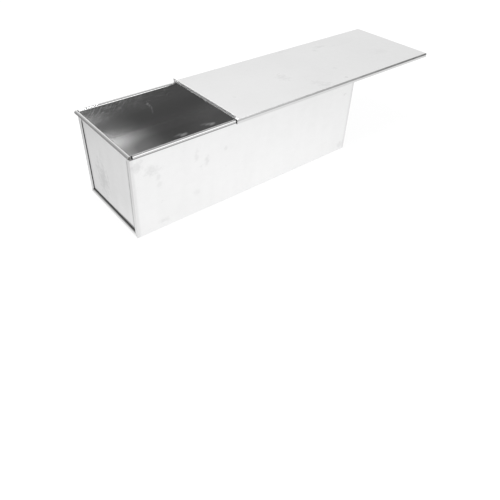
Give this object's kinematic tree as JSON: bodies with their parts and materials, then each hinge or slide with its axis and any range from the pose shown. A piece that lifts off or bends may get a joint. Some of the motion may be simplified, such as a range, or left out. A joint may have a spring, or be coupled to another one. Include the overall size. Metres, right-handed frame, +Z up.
{
  "type": "pullman loaf pan",
  "caption": "Deep straight-sided loaf pan folded from thin sheet metal, with rolled wired rims and a flat lid that slides along the long rims.",
  "frame": {"origin": "centre of the pan's underside, on the surface that it stands on", "axes": "+X runs along the pan, from the end under the lid's upturned lip to the end where the open lid hangs out; +Y is across the pan to its left; +Z is up"},
  "size_m": [0.4394, 0.1208, 0.1051],
  "materials": {
    "sheet": "bright satin coated sheet steel",
    "wire": "plain drawn steel"
  },
  "bodies": {
    "pan": {"trough": "sheet", "front_end_panel": "sheet", "back_end_panel": "sheet", "left_rim_wire": "wire", "right_rim_wire": "wire", "front_rim_wire": "wire", "back_rim_wire": "wire"},
    "lid": {"sliding_lid": "sheet"}
  },
  "joints": [
    {"name": "lid_slide", "type": "slide", "parent": "pan", "child": "lid", "axis": [1, 0, 0], "range_m": [-0.1263, 0.19]}
  ]
}
